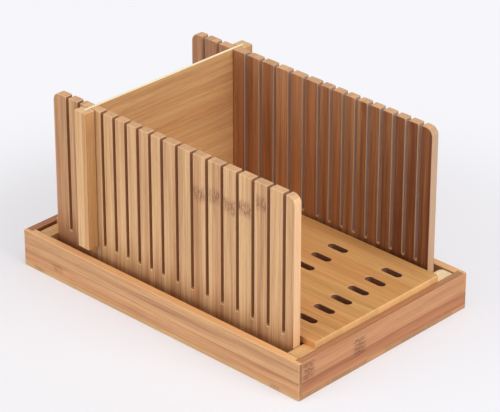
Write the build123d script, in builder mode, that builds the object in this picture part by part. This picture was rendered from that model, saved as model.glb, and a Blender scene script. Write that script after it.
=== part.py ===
from build123d import *
import os
from math import atan2, cos, pi, sin, sqrt, tan

# Bread slicer guide: a slotted base that stands in a crumb tray, two slotted guides that stand in
# grooves of the base, and a stop that hangs in one pair of the guides' knife slots.
# Millimetres. +X runs to the open front end, -Y is the near side, +Z is up, and the origin is at
# the middle of the tray's underside.

# ---- Guides ----
guide_thickness = 7.5
knife_slot_width = 3.0
narrow_slat_width = 10.0
wide_slat_width = 12.9
narrow_slat_count = 8
wide_slat_count = 8
narrow_end_slat_width = 14.3  # the near guide's end slat beside its narrow slats
wide_end_slat_width = 9.0  # the near guide's end slat beside its wide slats
far_slot_shift = 2.9  # of all the far guide's slots, towards its own narrow end
guide_height = 145.1
slot_rise = 2.0  # from the slotted board up to the knife slots' lowest point
guide_corner_radius = 8.0
slat_corner_radius = 1.0
guide_edge_radius = 0.7

# ---- Base ----
inside_width = 146.0  # between the guides, where the loaf goes
board_thickness = 5.8
board_edge_gap = 2.5  # between the slotted board and each guide
board_corner_radius = 1.2
board_edge_radius = 0.8
batten_width = 12.0
batten_height = 27.3
batten_overhang = 7.4  # beyond the guide's outer face
batten_round_radius = 4.0
batten_edge_radius = 0.6
guide_end_clearance = 1.0  # between a guide's end and a batten
rail_width = 21.0
rail_web_thickness = 8.0  # below the groove
rail_edge_radius = 0.8
groove_depth = 12.0
groove_clearance = 0.3  # each side of the guide
groove_floor_clearance = 0.1

# ---- Crumb slots in the board ----
crumb_slot_length = 19.5
crumb_slot_width = 6.6
crumb_slot_rows = 6
crumb_slot_columns = 5
crumb_row_pitch = 19.4
crumb_end_margin = 19.2  # from the board's end to the first slots
crumb_edge_chamfer = 0.3

# ---- Dowels of the base ----
board_dowel_diameter = 5.0
board_dowel_spacing = 52.0
board_dowel_count = 3  # in each batten
rail_dowel_diameter = 4.0
rail_dowel_depth = 10.0  # into the rail
batten_dowel_depth = 8.0  # into the batten
board_dowel_depth = 12.0  # into the batten
board_dowel_reach = 3.2  # into the board
dowel_side_clearance = 0.05
dowel_end_clearance = 0.4

# ---- Tray ----
tray_wall_thickness = 7.0
tray_rim_rise = 0.6  # of the walls above the battens
tray_bottom_thickness = 4.0
tray_lap = 3.0  # of the long walls over the ends of the short ones
tray_corner_radius = 0.7
tray_edge_radius = 0.6
tray_foot_radius = 0.5
base_side_clearance = 1.25  # between the base and each long wall
base_end_clearance = 2.0  # between the base and each short wall, when it stands in the middle
base_push = 1.6  # of the base towards the front, where it stands
base_floor_clearance = 0.1  # under the base, which stands on the tray's bottom

# ---- Stop ----
stop_slot_number = 3  # counted from the rear in both guides
stop_side_clearance = 0.12  # in a knife slot
stop_seat_clearance = 0.1
stop_edge_radius = 0.4
post_width = 12.2  # across the board's faces
post_depth = 10.2  # out from the guide
post_clearance = 0.3  # from the guide's outer face
post_drop = 1.5  # of the posts' feet below the knife slots
post_edge_radius = 0.7
post_let_in = 5.0  # of the stop's board into each post

# ---- Heights ----
base_foot_z = tray_bottom_thickness + base_floor_clearance
batten_top_z = base_foot_z + batten_height
tray_wall_height = batten_top_z + tray_rim_rise - tray_bottom_thickness
board_top_z = batten_top_z + board_thickness
groove_floor_z = base_foot_z + rail_web_thickness
rail_top_z = groove_floor_z + groove_depth
guide_foot_z = groove_floor_z + groove_floor_clearance
guide_top_z = guide_foot_z + guide_height
slot_bottom_z = board_top_z + slot_rise

# ---- Knife slots, measured from the narrow end of the guide ----
slot_pitches = [narrow_slat_width + knife_slot_width] * narrow_slat_count
slot_pitches += [wide_slat_width + knife_slot_width] * wide_slat_count
slot_places = [narrow_end_slat_width + knife_slot_width / 2]
for pitch in slot_pitches:
    slot_places.append(slot_places[-1] + pitch)
guide_length = slot_places[-1] + knife_slot_width / 2 + wide_end_slat_width
far_slot_places = [place - far_slot_shift for place in slot_places]

# ---- Places across and along ----
guide_centre_y = (inside_width + guide_thickness) / 2
guide_outer_y = inside_width / 2 + guide_thickness
batten_length = 2 * (guide_outer_y + batten_overhang)
batten_inner_x = guide_length / 2 + guide_end_clearance
batten_centre_x = batten_inner_x + batten_width / 2
board_length = 2 * (batten_inner_x + batten_width)
board_width = inside_width - 2 * board_edge_gap
tray_inner_length = board_length + 2 * base_end_clearance
tray_inner_width = batten_length + 2 * base_side_clearance
tray_length = tray_inner_length + 2 * tray_wall_thickness
tray_width = tray_inner_width + 2 * tray_wall_thickness

NEAR, FAR = -1, 1
REAR, FRONT = -1, 1

# The base stands a little towards the tray's front, and carries the guides and the stop. These
# planes pass through its middle: its plan, its side view and its cross section.
base_middle = (base_push, 0, 0)
base_plan = Plane(origin=base_middle, x_dir=(1, 0, 0), z_dir=(0, 0, 1))
base_side_view = Plane(origin=base_middle, x_dir=(1, 0, 0), z_dir=(0, -1, 0))
base_section = Plane(origin=base_middle, x_dir=(0, 1, 0), z_dir=(1, 0, 0))


# ---- Tray: four walls, lapped at the corners, on a bottom panel ----
with BuildPart() as tray_frame:
    with BuildSketch(Plane.XY.offset(tray_bottom_thickness)) as frame_plan:
        Rectangle(tray_length, tray_width)
        fillet(frame_plan.vertices(), tray_corner_radius)
        Rectangle(tray_inner_length, tray_inner_width, mode=Mode.SUBTRACT)
    extrude(amount=tray_wall_height)
    fillet(tray_frame.faces().sort_by(Axis.Z)[-1].edges(), tray_edge_radius)


def tray_long_wall(side):
    """A wall along X, whose outer layer runs on to cover the ends of the short walls."""
    with BuildPart() as wall:
        add(tray_frame.part)
        with BuildSketch(Plane.XY.offset(tray_bottom_thickness)):
            with Locations((0, side * (tray_width - tray_wall_thickness) / 2)):
                Rectangle(tray_inner_length, tray_wall_thickness)
            with Locations((0, side * (tray_width - tray_lap) / 2)):
                Rectangle(tray_length, tray_lap)
        extrude(amount=tray_wall_height, mode=Mode.INTERSECT)
    return wall


def tray_short_wall(end):
    """A wall along Y, held between the laps of the long walls."""
    with BuildPart() as wall:
        add(tray_frame.part)
        with BuildSketch(Plane.XY.offset(tray_bottom_thickness)):
            with Locations((end * (tray_length - tray_wall_thickness) / 2, 0)):
                Rectangle(tray_wall_thickness, tray_width - 2 * tray_lap)
        extrude(amount=tray_wall_height, mode=Mode.INTERSECT)
    return wall


tray_near_wall = tray_long_wall(NEAR)
tray_near_wall.part.label = "tray_near_wall"
tray_far_wall = tray_long_wall(FAR)
tray_far_wall.part.label = "tray_far_wall"
tray_front_wall = tray_short_wall(FRONT)
tray_front_wall.part.label = "tray_front_wall"
tray_rear_wall = tray_short_wall(REAR)
tray_rear_wall.part.label = "tray_rear_wall"

with BuildPart() as tray_bottom:
    with BuildSketch() as bottom_plan:
        Rectangle(tray_length, tray_width)
        fillet(bottom_plan.vertices(), tray_corner_radius)
    extrude(amount=tray_bottom_thickness)
    fillet(tray_bottom.faces().sort_by(Axis.Z)[0].edges(), tray_foot_radius)
tray_bottom.part.label = "tray_bottom"


# ---- Dowel places, shared by the dowels and their holes ----
board_dowel_places = [
    (end * batten_centre_x, (index - (board_dowel_count - 1) / 2) * board_dowel_spacing)
    for end in (REAR, FRONT)
    for index in range(board_dowel_count)
]
rail_flank_width = (rail_width - guide_thickness) / 2 - groove_clearance
flank_dowel_y = guide_centre_y - (rail_width - rail_flank_width) / 2
flank_dowel_z = (groove_floor_z + rail_top_z) / 2
web_dowel_z = (base_foot_z + groove_floor_z) / 2


def rail_dowel_places(side):
    """Y and Z of the two dowels at each end of a rail: one in its inner flank, one below its groove."""
    return [(side * flank_dowel_y, flank_dowel_z), (side * guide_centre_y, web_dowel_z)]


# ---- Battens: the two cross pieces that carry the board and the rails ----
def batten(end):
    """A cross batten at one end, with its far inner corner rounded in plan."""
    with BuildPart() as piece:
        with BuildSketch(base_plan.offset(base_foot_z)) as plan:
            with Locations((end * batten_centre_x, 0)):
                Rectangle(batten_width, batten_length)
            far_corners = plan.vertices().group_by(Axis.Y)[-1].sort_by(Axis.X)
            fillet(far_corners[0 if end == FRONT else -1], batten_round_radius)
        extrude(amount=batten_height)
        fillet(piece.faces().sort_by(Axis.Z)[-1].edges(), batten_edge_radius)
        with BuildSketch(base_plan.offset(batten_top_z)):
            with Locations([place for place in board_dowel_places if place[0] * end > 0]):
                Circle(board_dowel_diameter / 2)
        extrude(amount=-board_dowel_depth, mode=Mode.SUBTRACT)
        with BuildSketch(base_section.offset(end * batten_inner_x)):
            with Locations(rail_dowel_places(NEAR) + rail_dowel_places(FAR)):
                Circle(rail_dowel_diameter / 2)
        extrude(amount=end * batten_dowel_depth, mode=Mode.SUBTRACT)
    return piece


front_batten = batten(FRONT)
front_batten.part.label = "front_batten"
rear_batten = batten(REAR)
rear_batten.part.label = "rear_batten"


# ---- Rails: grooved pieces between the battens, where the guides stand ----
def rail(side):
    """A grooved rail under one guide."""
    with BuildPart() as piece:
        with BuildSketch(base_section) as section:
            with Locations((side * guide_centre_y, base_foot_z)):
                Rectangle(rail_width, rail_top_z - base_foot_z, align=(Align.CENTER, Align.MIN))
            fillet(section.vertices().group_by(Axis.Y)[-1], rail_edge_radius)
            with Locations((side * guide_centre_y, groove_floor_z)):
                Rectangle(
                    guide_thickness + 2 * groove_clearance,
                    groove_depth,
                    align=(Align.CENTER, Align.MIN),
                    mode=Mode.SUBTRACT,
                )
        extrude(amount=batten_inner_x, both=True)
        for end in (REAR, FRONT):
            with BuildSketch(base_section.offset(end * batten_inner_x)):
                with Locations(rail_dowel_places(side)):
                    Circle(rail_dowel_diameter / 2)
            extrude(amount=-end * rail_dowel_depth, mode=Mode.SUBTRACT)
    return piece


near_rail = rail(NEAR)
near_rail.part.label = "near_rail"
far_rail = rail(FAR)
far_rail.part.label = "far_rail"


# ---- Slotted board: the loaf stands on it and crumbs fall through it ----
crumb_column_pitch = (board_length - 2 * crumb_end_margin - crumb_slot_length) / (crumb_slot_columns - 1)

with BuildPart() as slotted_board:
    with BuildSketch(base_plan.offset(batten_top_z)) as board_plan:
        Rectangle(board_length, board_width)
        fillet(board_plan.vertices(), board_corner_radius)
    extrude(amount=board_thickness)
    fillet(slotted_board.faces().sort_by(Axis.Z)[-1].edges(), board_edge_radius)
    with BuildSketch(base_plan.offset(batten_top_z)):
        with GridLocations(crumb_column_pitch, crumb_row_pitch, crumb_slot_columns, crumb_slot_rows):
            SlotOverall(crumb_slot_length, crumb_slot_width)
    extrude(amount=board_thickness, mode=Mode.SUBTRACT)
    board_top = slotted_board.faces().sort_by(Axis.Z)[-1]
    chamfer([edge for loop in board_top.inner_wires() for edge in loop.edges()], crumb_edge_chamfer)
    with BuildSketch(base_plan.offset(batten_top_z)):
        with Locations(board_dowel_places):
            Circle(board_dowel_diameter / 2)
    extrude(amount=board_dowel_reach, mode=Mode.SUBTRACT)
slotted_board.part.label = "slotted_board"


# ---- Dowels ----
with BuildPart() as board_dowels:
    with BuildSketch(base_plan.offset(batten_top_z - board_dowel_depth + dowel_end_clearance)):
        with Locations(board_dowel_places):
            Circle(board_dowel_diameter / 2 - dowel_side_clearance)
    extrude(amount=board_dowel_depth + board_dowel_reach - 2 * dowel_end_clearance)
board_dowels.part.label = "board_dowels"

with BuildPart() as rail_dowels:
    for end in (REAR, FRONT):
        with BuildSketch(base_section.offset(end * (batten_inner_x - rail_dowel_depth + dowel_end_clearance))):
            with Locations(rail_dowel_places(NEAR) + rail_dowel_places(FAR)):
                Circle(rail_dowel_diameter / 2 - dowel_side_clearance)
        extrude(amount=end * (rail_dowel_depth + batten_dowel_depth - 2 * dowel_end_clearance))
rail_dowels.part.label = "rail_dowels"


# ---- Guides: the far one is turned end for end, and trimmed a little differently at its ends ----
end_corner_radius = min(guide_corner_radius, wide_end_slat_width - 2 * slat_corner_radius)


def guide(side, narrow_end, places):
    """A slotted guide on one side, with its narrow slats towards narrow_end and slots at places."""
    slot_xs = [narrow_end * (guide_length / 2 - place) for place in places]
    with BuildPart() as piece:
        with BuildSketch(base_side_view.offset(-side * guide_centre_y)) as outline:
            with Locations((0, guide_foot_z)):
                Rectangle(guide_length, guide_height, align=(Align.CENTER, Align.MIN))
            fillet(outline.vertices().group_by(Axis.Y)[-1], end_corner_radius)
            with Locations([(x, slot_bottom_z + knife_slot_width / 2) for x in slot_xs]):
                Circle(knife_slot_width / 2, mode=Mode.SUBTRACT)
                Rectangle(
                    knife_slot_width, guide_height, align=(Align.CENTER, Align.MIN), mode=Mode.SUBTRACT
                )
            mouths = [
                corner
                for corner in outline.vertices().group_by(Axis.Y)[-1]
                if any(abs(abs(corner.X - x) - knife_slot_width / 2) < slat_corner_radius / 2 for x in slot_xs)
            ]
            fillet(mouths, slat_corner_radius)
        extrude(amount=guide_thickness / 2, both=True)
        fillet(piece.faces().filter_by(Axis.Y).edges(), guide_edge_radius)
    return piece


near_guide = guide(NEAR, REAR, slot_places)
near_guide.part.label = "near_guide"
far_guide = guide(FAR, FRONT, far_slot_places)
far_guide.part.label = "far_guide"


# ---- Stop: a board through one knife slot of each guide, let into a post outside each ----
# The two slots stand out of line by a little, because the far guide is turned, so the stop
# stands askew by stop_skew and its board is as thick as passes through both slots.
stop_near_x = slot_places[stop_slot_number - 1] - guide_length / 2
stop_far_x = guide_length / 2 - far_slot_places[-stop_slot_number]
stop_centre_x = (stop_near_x + stop_far_x) / 2
stop_skew = atan2(stop_far_x - stop_near_x, 2 * guide_centre_y)
stop_passage = knife_slot_width - 2 * stop_side_clearance
stop_thickness = stop_passage * cos(stop_skew) - guide_thickness * abs(sin(stop_skew))
slot_radius = knife_slot_width / 2
stop_seat_rise = slot_radius - sqrt(slot_radius**2 - (stop_passage / 2) ** 2)
stop_bottom_z = slot_bottom_z + stop_seat_rise + stop_seat_clearance
post_foot_z = slot_bottom_z - post_drop
post_inner_reach = (guide_outer_y + post_clearance) / cos(stop_skew) + post_width / 2 * abs(tan(stop_skew))
stop_plane = Plane(
    origin=(base_push + stop_centre_x, 0, 0), x_dir=(cos(stop_skew), -sin(stop_skew), 0), z_dir=(0, 0, 1)
)
stop_half_length = post_inner_reach + post_let_in

with BuildPart() as stop_board:
    with BuildSketch(stop_plane.offset(stop_bottom_z)):
        Rectangle(stop_thickness, 2 * stop_half_length)
    extrude(amount=guide_top_z - stop_bottom_z)
    top_edges = stop_board.faces().sort_by(Axis.Z)[-1].edges().sort_by(SortBy.LENGTH)[-2:]
    fillet(top_edges, stop_edge_radius)
stop_board.part.label = "stop_board"


def stop_post(side):
    """A post outside one guide, grooved for the end of the stop's board."""
    with BuildPart() as piece:
        with BuildSketch(stop_plane.offset(post_foot_z)):
            with Locations((0, side * (post_inner_reach + post_depth / 2))):
                Rectangle(post_width, post_depth)
        extrude(amount=guide_top_z - post_foot_z)
        fillet(piece.edges(), post_edge_radius)
        with BuildSketch(stop_plane.offset(stop_bottom_z)):
            with Locations((0, side * (post_inner_reach + post_let_in / 2))):
                Rectangle(stop_thickness, post_let_in)
        extrude(amount=guide_top_z - stop_bottom_z, mode=Mode.SUBTRACT)
    return piece


near_stop_post = stop_post(NEAR)
near_stop_post.part.label = "near_stop_post"
far_stop_post = stop_post(FAR)
far_stop_post.part.label = "far_stop_post"

# ---- Files ----
pieces = [
    tray_near_wall,
    tray_far_wall,
    tray_front_wall,
    tray_rear_wall,
    tray_bottom,
    front_batten,
    rear_batten,
    near_rail,
    far_rail,
    slotted_board,
    board_dowels,
    rail_dowels,
    near_guide,
    far_guide,
    stop_board,
    near_stop_post,
    far_stop_post,
]
os.makedirs("parts", exist_ok=True)
for piece in pieces:
    export_step(piece.part, f"parts/{piece.part.label}.step")

print(f"tray {tray_length:.1f} x {tray_width:.1f}, guide {guide_length:.1f} long, top {guide_top_z:.1f}")
print(f"stop {stop_thickness:.2f} thick, {stop_skew * 180 / pi:.2f} degrees askew, from {stop_bottom_z:.2f} up")
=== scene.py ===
from math import radians

import bpy
from mathutils import Matrix, Vector

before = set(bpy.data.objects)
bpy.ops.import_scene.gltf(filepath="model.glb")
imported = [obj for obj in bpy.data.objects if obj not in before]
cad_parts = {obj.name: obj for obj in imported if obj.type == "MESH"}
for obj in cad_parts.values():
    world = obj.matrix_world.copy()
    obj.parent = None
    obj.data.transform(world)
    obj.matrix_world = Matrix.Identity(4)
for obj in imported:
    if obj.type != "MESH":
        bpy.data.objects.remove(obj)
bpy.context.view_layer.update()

# The bread slicer guide's looks: a bamboo finish for each piece, cut to that piece's own grain,
# with the floor, the lights and the camera. Lamps and camera are placed in metres. Patterns and
# places on the object are in millimetres.
MM = 0.001

# ---- Camera ----
CAMERA_PLACE = (1.30852, -1.36006, 1.07872)
CAMERA_LENS = 196.257
CAMERA_SENSOR = 36.0
CAMERA_RIGHT = (0.722622, 0.691240, 0.000734)
CAMERA_UP = (-0.325803, 0.339665, 0.882313)
CAMERA_REACH = 50.0

# ---- Light ----
SKY_STRENGTH = 0.38
FLOOR_COLOUR = (248, 247, 251)
FLOOR_SIZE = 12.0
FLOOR_GLOW = ((0.2, 0.36), (0.38, 0.95))  # distance and share: how much of its white a shadow leaves
TOP_LAMP = {"place": (0.35, -0.15, 2.4), "size": 1.6, "power": 17.0}
FRONT_LAMP = {"place": (2.15, 0.15, 1.2), "size": 1.6, "power": 29.0}
SIDE_LAMP = {"place": (-0.8, -2.2, 0.55), "size": 1.4, "power": 25.0}
WHITE = (1.0, 1.0, 1.0, 1.0)

# ---- Places on the object ----
BASE_MIDDLE_X = 1.6
GUIDE_END_REACH = 127.0  # from the base's middle, past which a guide's X faces are its ends
TRAY_RIM_Z = 31.0
STOP_TOP_Z = 150.0
POST_FRONT_X = -75.2
BOARD_ROUTED_REACH = (140.0, 69.0)  # half length and half width of where the board has its slots
STOP_SKEW = radians(1.27)

# ---- Grain ----
# Fibres: how long and wide one is, then the noise's detail and roughness.
BANDS = (170.0, 4.5, 2.0, 0.55)
STREAKS = (60.0, 1.1, 3.0, 0.65)
HAIRS = (16.0, 0.3, 1.0, 0.55)
HUES = (240.0, 9.0, 1.0, 0.55)
SWAY_LENGTH = 70.0
SWAY_WIDTH = 3.0
STRIP_SHIFT = 900.0  # the most that a strip's grain is moved along it
# Edges, here and below, are the two values between which a pattern fades in or out.
BLUSH_EDGES = (0.25, 0.95)
HUE_SPREAD = 1.2
FLECK_EDGES = (0.62, 0.72)
SEAM_EDGES = (0.05, 0.3)

# ---- Knuckles, where the cane had its rings ----
KNUCKLE_SPACING = 260.0
KNUCKLE_EDGES = (2.0, 9.0)
KNUCKLE_STEP = 2.2  # width of the steps in a knuckle's ragged edge
KNUCKLE_RAGGED = 6.0
KNUCKLE_SIDE = 0.6
KNUCKLE_STAIN = 0.4  # between its dashes, as a share of their depth
DASH_LENGTH = 3.2
DASH_WIDTH = 0.9
DASH_ROUGHNESS = 0.6
DASH_EDGES = (0.46, 0.6)

# ---- End grain, faces with painted light and shade, and arrises ----
VESSEL_ACROSS = 0.75
VESSEL_THROUGH = 0.6
VESSEL_DISORDER = 0.8
VESSEL_EDGES = (0.16, 0.34)
VESSEL_DEPTH = 0.4
END_BANDS = 0.25
END_EDGES = (0.55, 0.9)
PAINTED_FACE_EDGES = (0.3, 0.8)
PAINTED_FACE_STREAKS = 0.5
ARRIS_EDGES = (0.99, 0.8)
ARRIS_SHARE = 0.6
UPRIGHT_EDGES = (0.35, 0.75)

# ---- Relief and gloss ----
STREAK_RELIEF = 0.5
HAIR_RELIEF = 0.35
SEAM_RELIEF = -0.6
FLECK_RELIEF = -0.5
DASH_RELIEF = -0.4
BUMP_STRENGTH = 0.35
BUMP_HEIGHT = 0.08
ROUGHNESS = 0.5
STREAK_GLOSS = -0.25
FLECK_ROUGHNESS = 0.12
END_ROUGHNESS = 0.12
OIL_IOR = 1.46


def tint(red, green, blue):
    """An 8-bit display colour as the linear colour that a shader takes."""
    linear = [c / 255 / 12.92 if c <= 10 else ((c / 255 + 0.055) / 1.055) ** 2.4 for c in (red, green, blue)]
    return (*linear, 1.0)


KNUCKLE_BROWN = tint(124, 72, 46)
VESSEL_BROWN = tint(110, 72, 44)


class Recipe:
    """A material in the making: each call adds one node and gives its output."""

    def __init__(self, name):
        self.material = bpy.data.materials.new(name)
        self.material.use_nodes = True
        self.tree = self.material.node_tree
        self.tree.nodes.clear()

    def node(self, kind, inputs=None, **settings):
        made = self.tree.nodes.new("ShaderNode" + kind)
        for name, value in settings.items():
            setattr(made, name, value)
        for key, value in (inputs or {}).items():
            if isinstance(value, bpy.types.NodeSocket):
                self.tree.links.new(value, made.inputs[key])
            else:
                made.inputs[key].default_value = value
        return made

    def math(self, operation, *values):
        return self.node("Math", dict(enumerate(values)), operation=operation).outputs[0]

    def vector(self, x=0.0, y=0.0, z=0.0):
        return self.node("CombineXYZ", {"X": x, "Y": y, "Z": z}).outputs[0]

    def noise(self, vector, detail=2.0, roughness=0.5):
        inputs = {"Vector": vector, "Scale": 1.0, "Detail": detail, "Roughness": roughness}
        return self.node("TexNoise", inputs).outputs["Fac"]

    def chance(self, vector):
        """Three steady random numbers for each value of the vector."""
        white = self.node("TexWhiteNoise", {"Vector": vector}, noise_dimensions="3D")
        parts = self.node("SeparateColor", {"Color": white.outputs["Color"]})
        return parts.outputs[0], parts.outputs[1], parts.outputs[2]

    def fade(self, value, start, end, low=0.0, high=1.0):
        """Runs smoothly from low at start to high at end, and stays there."""
        inputs = {"Value": value, "From Min": start, "From Max": end, "To Min": low, "To Max": high}
        return self.node("MapRange", inputs, interpolation_type="SMOOTHSTEP").outputs[0]

    def scaled(self, value, amount):
        """How far a value from 0 to 1 is above its middle, times an amount."""
        return self.math("MULTIPLY", self.math("SUBTRACT", value, 0.5), amount)

    def total(self, *values):
        result = values[0]
        for value in values[1:]:
            result = self.math("ADD", result, value)
        return result

    def mix(self, factor, first, second, blend="MIX"):
        made = self.node("Mix", {"Factor": factor}, data_type="RGBA", blend_type=blend)
        for socket, value in zip([s for s in made.inputs if s.type == "RGBA"], (first, second)):
            if isinstance(value, bpy.types.NodeSocket):
                self.tree.links.new(value, socket)
            else:
                socket.default_value = value
        return next(s for s in made.outputs if s.type == "RGBA")

    def ramp(self, factor, *stops):
        made = self.node("ValToRGB", {"Fac": factor})
        elements = made.color_ramp.elements
        elements[0].position, elements[0].color = stops[0]
        elements[1].position, elements[1].color = stops[-1]
        for position, colour in stops[1:-1]:
            elements.new(position).color = colour
        return made.outputs["Color"]


def bamboo(
    name,
    cut,
    dark,
    middle,
    light,
    blush,
    end_grain,
    strip=(20.0, 8.0),
    strip_start=(0.0, 0.0),
    seed=0.0,
    turn=0.0,
    strip_contrast=0.35,
    band_contrast=0.5,
    streak_contrast=0.45,
    blush_share=0.45,
    seam=0.25,
    fleck=0.35,
    knuckle_share=0.3,
    knuckle_depth=0.4,
    knuckles=(),
    drifts=(),
    cut_faces=(),
    end_contrast=0.3,
    routed=None,
):
    """Glued bamboo strips. cut names the axes along the grain, across the strips and through them."""
    r = Recipe(name)
    place = r.node("TexCoord")
    turned = r.node("Mapping", {"Vector": place.outputs["Object"], "Rotation": (0.0, 0.0, turn)})
    in_mm = r.node("VectorMath", {0: turned.outputs[0], "Scale": 1 / MM}, operation="SCALE")
    axes = r.node("SeparateXYZ", {"Vector": in_mm.outputs[0]})
    along, across, through = (axes.outputs[letter] for letter in cut)

    # Strips, each with its own random numbers.
    strip_across = r.math("DIVIDE", r.math("SUBTRACT", across, strip_start[0]), strip[0])
    strip_through = r.math("DIVIDE", r.math("SUBTRACT", through, strip_start[1]), strip[1])
    strip_number = r.vector(r.math("FLOOR", strip_across), r.math("FLOOR", strip_through), seed)
    tone_chance, hue_chance, shift_chance = r.chance(strip_number)

    # Fibres run along the grain, wander a little, and start afresh in each strip.
    shift = r.math("MULTIPLY", shift_chance, STRIP_SHIFT)
    start = r.math("ADD", along, shift)
    sway = r.scaled(r.noise(r.vector(r.math("DIVIDE", start, SWAY_LENGTH), shift)), SWAY_WIDTH)
    fibre_across = r.math("ADD", across, sway)

    def fibres(length, width, detail, roughness):
        return r.noise(
            r.vector(
                r.math("DIVIDE", start, length),
                r.math("DIVIDE", fibre_across, width),
                r.math("DIVIDE", through, width),
            ),
            detail,
            roughness,
        )

    def band(distance, wander, inner, outer):
        """One within inner of the middle, none past outer."""
        return r.fade(r.math("ABSOLUTE", r.math("ADD", distance, wander)), inner, outer, 1.0, 0.0)

    def inside_of(value, middle, half):
        return r.math("LESS_THAN", r.math("ABSOLUTE", r.math("SUBTRACT", value, middle)), half)

    bands = fibres(*BANDS)
    streaks = fibres(*STREAKS)
    hairs = fibres(*HAIRS)

    tone = r.total(
        0.5,
        r.scaled(tone_chance, strip_contrast),
        r.scaled(bands, band_contrast * 2),
        r.scaled(streaks, streak_contrast * 2),
    )
    for letter, start_place, end_place, change in drifts:
        tone = r.math("ADD", tone, r.fade(axes.outputs[letter], start_place, end_place, 0.0, change))
    face = r.ramp(tone, (0.0, dark), (0.5, middle), (1.0, light))
    warmth = r.fade(r.math("ADD", hue_chance, r.scaled(fibres(*HUES), HUE_SPREAD)), *BLUSH_EDGES)
    face = r.mix(r.math("MULTIPLY", warmth, blush_share), face, blush, "MULTIPLY")

    # Vessels cut open lengthways show as short dark flecks.
    flecks = r.fade(hairs, *FLECK_EDGES)

    # Seams between strips.
    seam_across = r.math("MULTIPLY", r.math("PINGPONG", strip_across, 0.5), strip[0])
    seam_line = r.fade(seam_across, *SEAM_EDGES, 1.0, 0.0)

    # A knuckle is a brown band across a strip, mottled with short dashes.
    step_place = r.vector(r.math("DIVIDE", fibre_across, KNUCKLE_STEP), shift, 3.0)
    ragged = r.scaled(r.noise(step_place, 2.0), KNUCKLE_RAGGED)
    knuckle_at = r.scaled(shift_chance, KNUCKLE_SPACING)
    half_spacing = KNUCKLE_SPACING / 2
    from_knuckle = r.math("WRAP", r.math("SUBTRACT", along, knuckle_at), half_spacing, -half_spacing)
    has_knuckle = r.math("LESS_THAN", hue_chance, knuckle_share)
    ring = r.math("MULTIPLY", band(from_knuckle, ragged, *KNUCKLE_EDGES), has_knuckle)
    for knuckle_along, knuckle_across, half_width in knuckles:
        off_along = r.math("SUBTRACT", along, knuckle_along)
        off_across = r.math("SUBTRACT", across, knuckle_across)
        lengthways = band(off_along, ragged, *KNUCKLE_EDGES)
        sideways = band(off_across, 0.0, half_width, half_width + KNUCKLE_SIDE)
        ring = r.math("MAXIMUM", ring, r.math("MULTIPLY", lengthways, sideways))
    mottle_place = r.vector(
        r.math("DIVIDE", along, DASH_LENGTH),
        r.math("DIVIDE", across, DASH_WIDTH),
        r.math("DIVIDE", through, DASH_WIDTH),
    )
    mottle = r.fade(r.noise(mottle_place, 2.0, DASH_ROUGHNESS), *DASH_EDGES)
    dashes = r.math("MULTIPLY", ring, mottle)

    shade = r.total(
        r.math("MULTIPLY", flecks, fleck),
        r.math("MULTIPLY", seam_line, seam),
        r.math("MULTIPLY", dashes, knuckle_depth),
        r.math("MULTIPLY", ring, knuckle_depth * KNUCKLE_STAIN),
    )
    face = r.mix(r.math("MINIMUM", shade, 1.0), face, KNUCKLE_BROWN)

    # End grain: the cane's vessels show as brown dots.
    cell_place = r.vector(
        r.math("DIVIDE", across, VESSEL_ACROSS), r.math("DIVIDE", through, VESSEL_THROUGH), shift
    )
    cells = r.node("TexVoronoi", {"Vector": cell_place, "Scale": 1.0, "Randomness": VESSEL_DISORDER})
    dots = r.fade(cells.outputs["Distance"], *VESSEL_EDGES, 1.0, 0.0)
    end_tone = r.total(1.0, r.scaled(tone_chance, end_contrast), r.scaled(bands, END_BANDS))
    end_face = r.mix(r.math("MULTIPLY", dots, VESSEL_DEPTH), end_grain, VESSEL_BROWN)
    end_face = r.node("VectorMath", {0: end_face, "Scale": end_tone}, operation="SCALE").outputs[0]

    normal = r.node("SeparateXYZ", {"Vector": place.outputs["Normal"]})
    steepness = {letter: r.math("ABSOLUTE", normal.outputs[letter]) for letter in "XYZ"}
    facing_end = r.fade(steepness[cut[0]], *END_EDGES)
    colour = r.mix(facing_end, face, end_face)

    # Faces that look along one axis, beyond a reach from its middle, take a given colour of painted light
    # and shade: painted light on lit ends and tops, painted shade and painted reflection on slot walls.
    for letter, middle_place, reach, painted_colour in cut_faces:
        off_middle = r.math("ABSOLUTE", r.math("SUBTRACT", axes.outputs[letter], middle_place))
        turned_to = r.fade(steepness[letter], *PAINTED_FACE_EDGES)
        here = r.math("MULTIPLY", r.math("GREATER_THAN", off_middle, reach), turned_to)
        painted_tone = r.total(1.0, r.scaled(streaks, PAINTED_FACE_STREAKS))
        streaked = r.node("VectorMath", {0: painted_colour[:3], "Scale": painted_tone}, operation="SCALE")
        colour = r.mix(here, colour, streaked.outputs[0])

    # Arrises are a little paler: partly sanded wear, partly a painted highlight.
    squarest = r.math("MAXIMUM", r.math("MAXIMUM", steepness["X"], steepness["Y"]), steepness["Z"])
    arris = r.fade(squarest, *ARRIS_EDGES)
    colour = r.mix(r.math("MULTIPLY", arris, ARRIS_SHARE), colour, light)

    # Routed slots: upright walls within the given half length and half width are darker brown, painted shade
    # for the shade deep in the slots.
    if routed:
        middle_x, half_x, half_y, painted_slot_shade = routed
        in_length = inside_of(axes.outputs["X"], middle_x, half_x)
        in_width = inside_of(axes.outputs["Y"], 0.0, half_y)
        inside = r.math("MULTIPLY", in_length, in_width)
        upright = r.fade(steepness["Z"], *UPRIGHT_EDGES, 1.0, 0.0)
        colour = r.mix(r.math("MULTIPLY", inside, upright), colour, painted_slot_shade)

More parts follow.
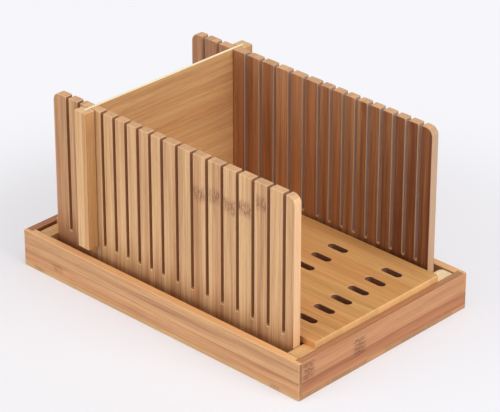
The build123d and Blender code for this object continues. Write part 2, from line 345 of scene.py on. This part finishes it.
    relief = r.total(
        r.math("MULTIPLY", streaks, STREAK_RELIEF),
        r.math("MULTIPLY", hairs, HAIR_RELIEF),
        r.math("MULTIPLY", seam_line, SEAM_RELIEF),
        r.math("MULTIPLY", flecks, FLECK_RELIEF),
        r.math("MULTIPLY", dashes, DASH_RELIEF),
    )
    bump = r.node("Bump", {"Strength": BUMP_STRENGTH, "Distance": BUMP_HEIGHT * MM, "Height": relief})
    roughness = r.total(
        ROUGHNESS,
        r.scaled(streaks, STREAK_GLOSS),
        r.math("MULTIPLY", flecks, FLECK_ROUGHNESS),
        r.math("MULTIPLY", facing_end, END_ROUGHNESS),
    )
    shader = r.node(
        "BsdfPrincipled",
        {"Base Color": colour, "Roughness": roughness, "Normal": bump.outputs[0], "IOR": OIL_IOR},
    )
    r.node("OutputMaterial", {"Surface": shader.outputs[0]})
    return r.material


def dress(node_names, material):
    for node_name in node_names:
        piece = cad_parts[node_name]
        piece.data.materials.clear()
        piece.data.materials.append(material)


# ---- Finishes ----
def guide_finish(name, seed, dark, middle, light, painted_slot_wall, end_face, **more):
    """Upright strips, with painted colours on the knife slots' walls (painted shade on the near guide, a
    painted reflection on the far guide) and painted light on the guide's two ends.
    """
    painted_faces = (("X", BASE_MIDDLE_X, 0.0, painted_slot_wall), ("X", BASE_MIDDLE_X, GUIDE_END_REACH, end_face))
    return bamboo(
        name, "ZXY", dark, middle, light, tint(238, 212, 200), tint(214, 166, 122),
        strip=(11.6, 60.0), strip_start=(0.0, 30.0), seed=seed, cut_faces=painted_faces, **more
    )


near_guide_bamboo = guide_finish(
    "near_guide_bamboo", 3.0, tint(164, 116, 78), tint(211, 167, 118), tint(236, 198, 144),
    # Its knife slots' walls are darker, painted shade, and its ends paler, painted light.
    tint(172, 124, 90), tint(234, 186, 140),
    knuckle_share=0.0, knuckle_depth=0.6,
    knuckles=(
        (125.0, 33.0, 6.0), (129.0, 49.0, 6.0), (126.0, 64.5, 6.0), (130.0, 80.0, 6.0), (141.0, 96.5, 5.0),
    ),
    # Darker towards the rear end and towards the foot: painted shade.
    drifts=(("X", -60.0, -120.0, -0.32), ("Z", 62.0, 22.0, -0.32)),
)
far_guide_bamboo = guide_finish(
    # Darker colours than the near guide's: painted shade on its inner face.
    "far_guide_bamboo", 8.0, tint(122, 72, 44), tint(174, 122, 82), tint(204, 154, 110),
    # Its knife slots' walls are paler, a painted reflection, and its ends paler, painted light.
    tint(188, 156, 134), tint(194, 157, 126), knuckle_share=0.2,
    # Darker towards the front end: painted shade.
    drifts=(("X", 0.0, 120.0, -0.45),),
)


def tray_finish(name, cut, strip_start, seed, dark, middle, light, **more):
    """Strips along a wall, two of them high."""
    return bamboo(
        name, cut, dark, middle, light, tint(240, 208, 196), tint(176, 124, 84),
        strip=(17.0, 30.0), strip_start=strip_start, seed=seed, **more
    )


long_wall_bamboo = tray_finish(
    "long_wall_bamboo", "XZY", (15.0, 80.0), 5.0,
    tint(160, 108, 68), tint(210, 160, 112), tint(230, 188, 136),
    knuckle_share=0.0, knuckles=((-112.0, 11.0, 3.0),), end_contrast=0.9,
    # The wall tops are paler: painted light.
    cut_faces=(("Z", 0.0, TRAY_RIM_Z, tint(240, 182, 124)),),
)
short_wall_bamboo = tray_finish(
    "short_wall_bamboo", "YZX", (15.0, 140.0), 6.0,
    tint(140, 84, 50), tint(188, 130, 86), tint(211, 156, 108),
    knuckle_depth=0.7, knuckles=((-86.0, 23.0, 7.0), (-29.0, 19.0, 7.0)),
)
tray_bottom_bamboo = bamboo(
    "tray_bottom_bamboo", "XYZ", tint(182, 134, 86), tint(208, 164, 112), tint(226, 188, 138),
    tint(240, 220, 205), tint(184, 138, 98), strip=(20.0, 12.0), strip_start=(0.0, -4.0), seed=9.0,
)
board_bamboo = bamboo(
    "board_bamboo", "XYZ", tint(180, 122, 66), tint(214, 159, 95), tint(234, 184, 120),
    tint(246, 218, 200), tint(226, 176, 116), strip=(20.0, 12.0), strip_start=(0.0, 28.0), seed=2.0,
    # The crumb slots' walls are darker: painted shade.
    routed=(BASE_MIDDLE_X, *BOARD_ROUTED_REACH, tint(146, 100, 78)),
)
batten_bamboo = bamboo(
    "batten_bamboo", "YXZ", tint(206, 152, 92), tint(236, 192, 134), tint(252, 226, 180),
    tint(244, 226, 210), tint(222, 176, 124), strip=(24.0, 14.0), seed=4.0, streak_contrast=0.3,
    drifts=(("Y", 40.0, 75.0, 0.4), ("Y", -40.0, -75.0, -0.25)),
)
rail_bamboo = bamboo(
    "rail_bamboo", "XYZ", tint(160, 112, 74), tint(200, 150, 106), tint(222, 178, 132),
    tint(240, 214, 204), tint(190, 138, 94), seed=12.0,
)
stop_bamboo = bamboo(
    "stop_bamboo", "YZX", tint(190, 138, 88), tint(218, 172, 118), tint(238, 200, 146),
    tint(248, 226, 206), tint(236, 196, 140), strip=(40.0, 60.0), strip_start=(10.0, -120.0), seed=14.0,
    # The top edge is near white: a painted highlight.
    turn=STOP_SKEW, knuckle_share=0.0, cut_faces=(("Z", 0.0, STOP_TOP_Z, tint(255, 240, 200)),),
)
post_bamboo = bamboo(
    "post_bamboo", "ZXY", tint(176, 120, 72), tint(207, 159, 106), tint(230, 190, 138),
    tint(238, 208, 190), tint(224, 182, 132), strip=(5.2, 12.0), seed=15.0,
    knuckles=((80.0, POST_FRONT_X, 0.8),),
)


def dowel_finish(name, cut, seed):
    """Plain turned wood: one strip, with no seam and no knuckle."""
    return bamboo(
        name, cut, tint(190, 150, 106), tint(212, 176, 132), tint(228, 196, 154),
        tint(244, 226, 212), tint(206, 168, 124), strip=(60.0, 60.0), seed=seed, seam=0.0, knuckle_share=0.0
    )


upright_dowel_wood = dowel_finish("upright_dowel_wood", "ZXY", 17.0)
level_dowel_wood = dowel_finish("level_dowel_wood", "XYZ", 18.0)

dress(["near_guide"], near_guide_bamboo)
dress(["far_guide"], far_guide_bamboo)
dress(["tray_near_wall", "tray_far_wall"], long_wall_bamboo)
dress(["tray_front_wall", "tray_rear_wall"], short_wall_bamboo)
dress(["tray_bottom"], tray_bottom_bamboo)
dress(["slotted_board"], board_bamboo)
dress(["front_batten", "rear_batten"], batten_bamboo)
dress(["near_rail", "far_rail"], rail_bamboo)
dress(["stop_board"], stop_bamboo)
dress(["near_stop_post", "far_stop_post"], post_bamboo)
dress(["board_dowels"], upright_dowel_wood)
dress(["rail_dowels"], level_dowel_wood)


# ---- Floor ----
def make_floor():
    r = Recipe("floor_paper")
    paths = r.node("LightPath")
    paper = r.node("BsdfDiffuse", {"Color": tint(*FLOOR_COLOUR)})
    glow = r.node("Emission", {"Color": tint(*FLOOR_COLOUR), "Strength": 1.0})
    place = r.node("TexCoord")
    distance = r.node("VectorMath", {0: place.outputs["Object"]}, operation="LENGTH")
    (near, near_share), (far, far_share) = FLOOR_GLOW
    glow_share = r.fade(distance.outputs["Value"], near, far, near_share, far_share)
    seen = paths.outputs["Is Camera Ray"]
    for ray in ("Is Glossy Ray", "Is Transmission Ray"):
        seen = r.math("MAXIMUM", seen, paths.outputs[ray])
    share = r.math("MULTIPLY", seen, glow_share)
    both = r.node("MixShader", {0: share, 1: paper.outputs[0], 2: glow.outputs[0]})
    r.node("OutputMaterial", {"Surface": both.outputs[0]})
    bpy.ops.object.select_all(action="DESELECT")
    bpy.ops.mesh.primitive_plane_add(size=FLOOR_SIZE, location=(0, 0, 0))
    floor = bpy.context.object
    floor.name = "floor"
    floor.data.materials.append(r.material)


# ---- Lights ----
def make_sky():
    sky = bpy.data.worlds.new("studio")
    sky.use_nodes = True
    bpy.context.scene.world = sky
    tree = sky.node_tree
    tree.nodes.clear()
    paths = tree.nodes.new("ShaderNodeLightPath")
    seen = tree.nodes.new("ShaderNodeBackground")
    seen.inputs["Color"].default_value = tint(*FLOOR_COLOUR)
    light = tree.nodes.new("ShaderNodeBackground")
    light.inputs["Strength"].default_value = SKY_STRENGTH
    light.inputs["Color"].default_value = WHITE
    sharp = paths.outputs["Is Camera Ray"]
    for ray in ("Is Glossy Ray", "Is Transmission Ray"):
        either = tree.nodes.new("ShaderNodeMath")
        either.operation = "MAXIMUM"
        tree.links.new(sharp, either.inputs[0])
        tree.links.new(paths.outputs[ray], either.inputs[1])
        sharp = either.outputs[0]
    choice = tree.nodes.new("ShaderNodeMixShader")
    output = tree.nodes.new("ShaderNodeOutputWorld")
    tree.links.new(sharp, choice.inputs[0])
    tree.links.new(light.outputs[0], choice.inputs[1])
    tree.links.new(seen.outputs[0], choice.inputs[2])
    tree.links.new(choice.outputs[0], output.inputs["Surface"])


def make_lamp(name, place, size, power):
    """A square soft box that faces the object."""
    data = bpy.data.lights.new(name, "AREA")
    data.shape = "SQUARE"
    data.size = size
    data.energy = power
    lamp = bpy.data.objects.new(name, data)
    bpy.context.scene.collection.objects.link(lamp)
    lamp.location = place
    lamp.rotation_euler = Vector(place).to_track_quat("Z", "Y").to_euler()


# ---- Camera ----
def make_camera():
    right, up = Vector(CAMERA_RIGHT), Vector(CAMERA_UP)
    data = bpy.data.cameras.new("camera")
    data.lens = CAMERA_LENS
    data.sensor_width = CAMERA_SENSOR
    data.clip_end = CAMERA_REACH
    camera = bpy.data.objects.new("camera", data)
    bpy.context.scene.collection.objects.link(camera)
    turn = Matrix((right, up, right.cross(up))).transposed().to_4x4()
    camera.matrix_world = Matrix.Translation(CAMERA_PLACE) @ turn
    bpy.context.scene.camera = camera


make_floor()
make_sky()
make_lamp("top_lamp", **TOP_LAMP)
make_lamp("front_lamp", **FRONT_LAMP)
make_lamp("side_lamp", **SIDE_LAMP)
make_camera()
bpy.context.scene.view_settings.view_transform = "Standard"
